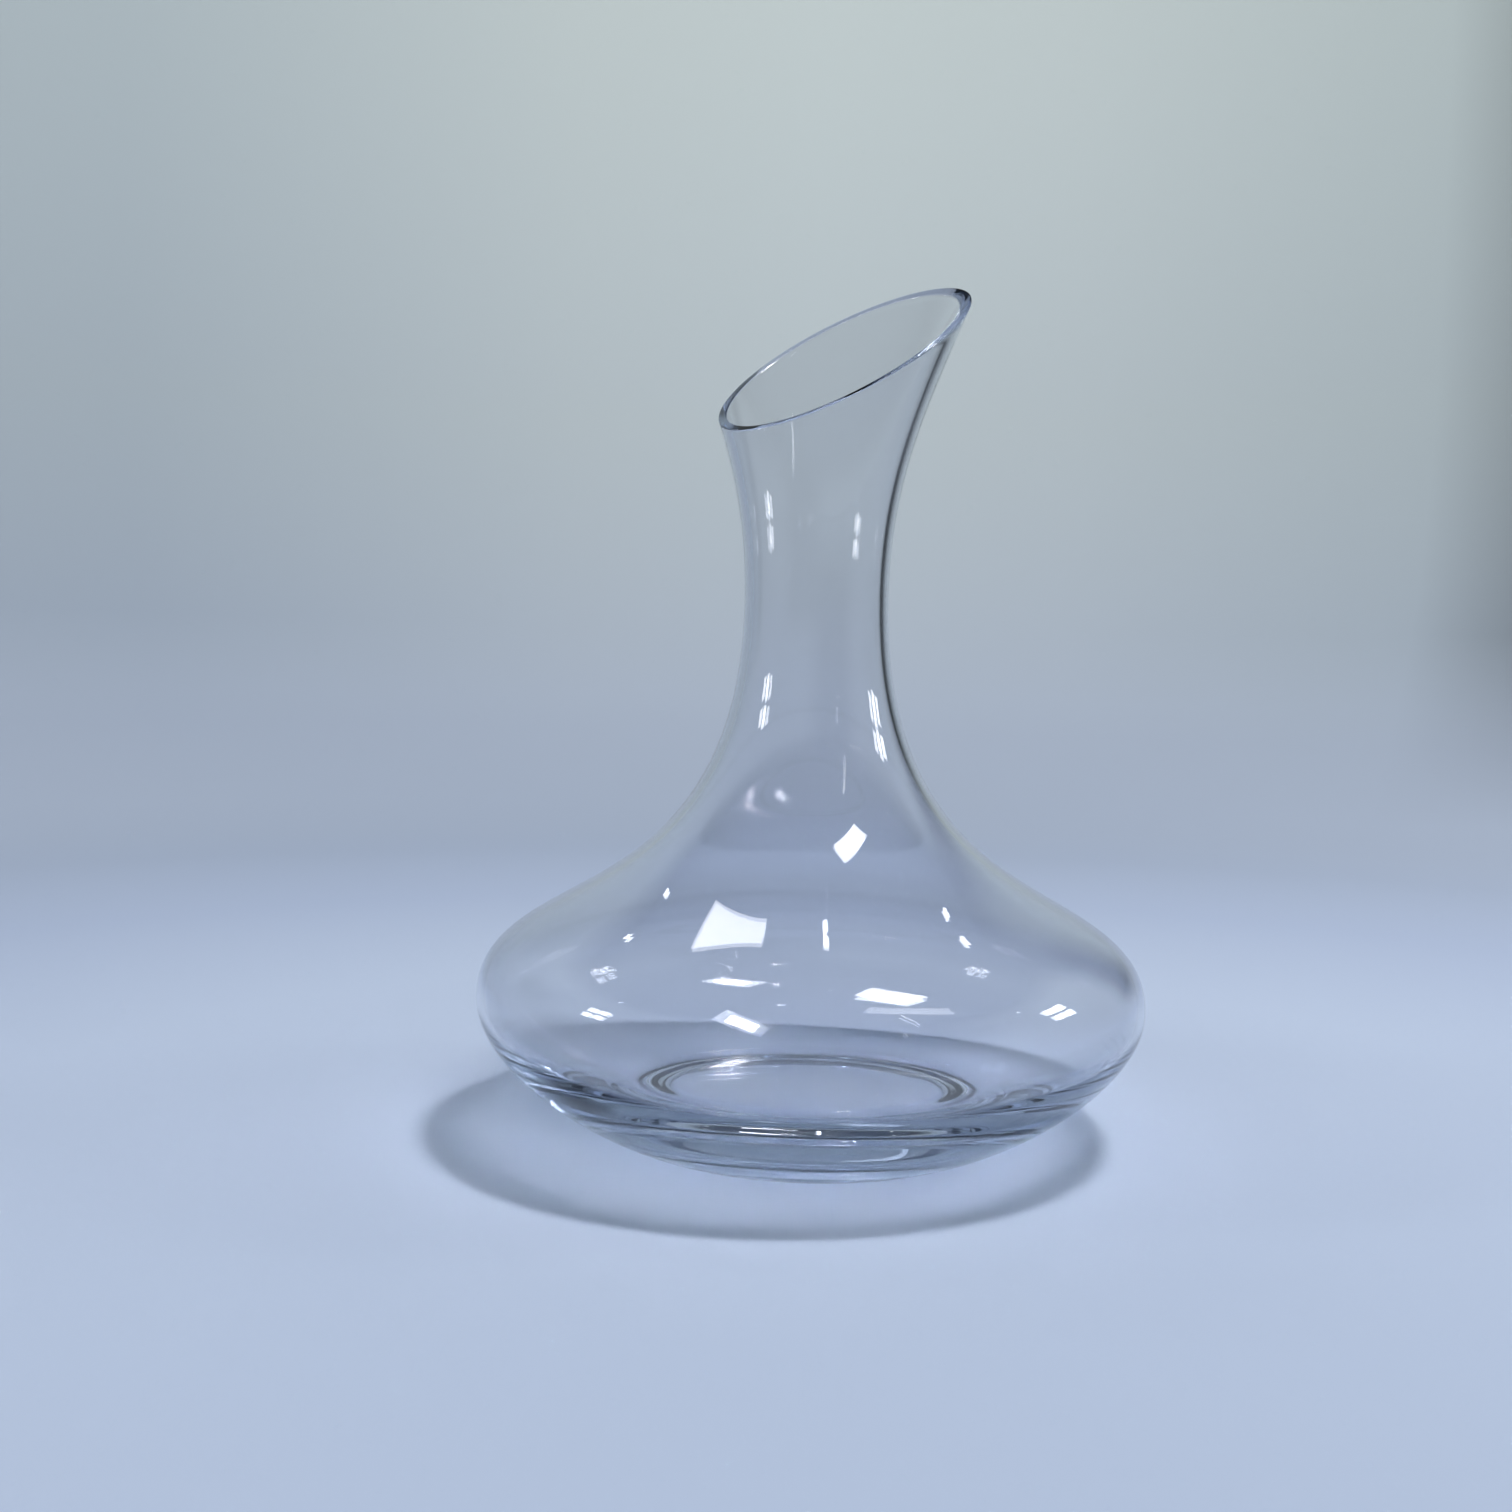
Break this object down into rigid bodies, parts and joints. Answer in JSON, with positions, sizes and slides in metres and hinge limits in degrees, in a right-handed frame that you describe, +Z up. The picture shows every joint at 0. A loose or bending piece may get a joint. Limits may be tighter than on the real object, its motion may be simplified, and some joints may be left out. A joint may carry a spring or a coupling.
{
  "type": "wine decanter",
  "caption": "Clear blown glass wine decanter: wide low bowl, slim waisted neck, flared mouth cut off on a slant with a high pouring lip, heavy base with a push-up.",
  "frame": {"origin": "centre of the standing ring, on the plane it stands on", "axes": "+Z up along the axis of the bowl and neck, +X towards the high pouring side of the slanted mouth, +Y completes the right-handed frame"},
  "size_m": [0.2, 0.2, 0.2626],
  "materials": {
    "clear_glass": "gloss"
  },
  "bodies": {
    "root": {"decanter": "clear_glass"}
  },
  "joints": []
}
